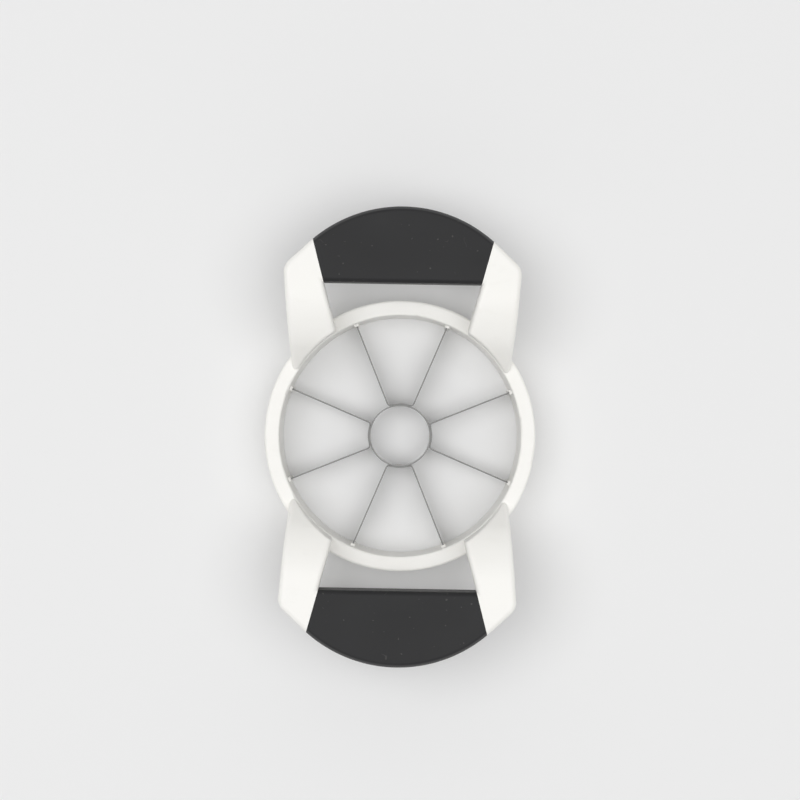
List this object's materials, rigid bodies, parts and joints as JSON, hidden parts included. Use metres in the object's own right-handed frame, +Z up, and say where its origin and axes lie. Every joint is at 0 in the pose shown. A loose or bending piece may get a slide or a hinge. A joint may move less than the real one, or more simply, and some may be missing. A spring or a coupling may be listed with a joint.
{
  "type": "apple corer and divider",
  "caption": "Hand-pressed apple corer and divider: a moulded ring with two raised soft grips and radial steel blades bent round a central corer tube.",
  "frame": {"origin": "centre of the ring's flat base, on the surface it stands on", "axes": "+X across, +Y from the front handle to the rear handle, +Z up through the opening"},
  "size_m": [0.109, 0.1816, 0.044],
  "materials": {
    "frame": "white ABS moulding, fine satin texture",
    "retaining_ring": "white ABS moulding",
    "grip": "soft charcoal thermoplastic rubber, matt",
    "blade": "stainless strip, ground edge",
    "corer_tube": "stainless tube, ground edge"
  },
  "bodies": {
    "root": {"frame": "frame", "blade_retaining_ring": "retaining_ring", "corer_tube": "corer_tube", "grip_rear": "grip", "grip_front": "grip", "blade_strip_right": "blade", "blade_strip_rear": "blade", "blade_strip_left": "blade", "blade_strip_front": "blade"}
  },
  "joints": []
}
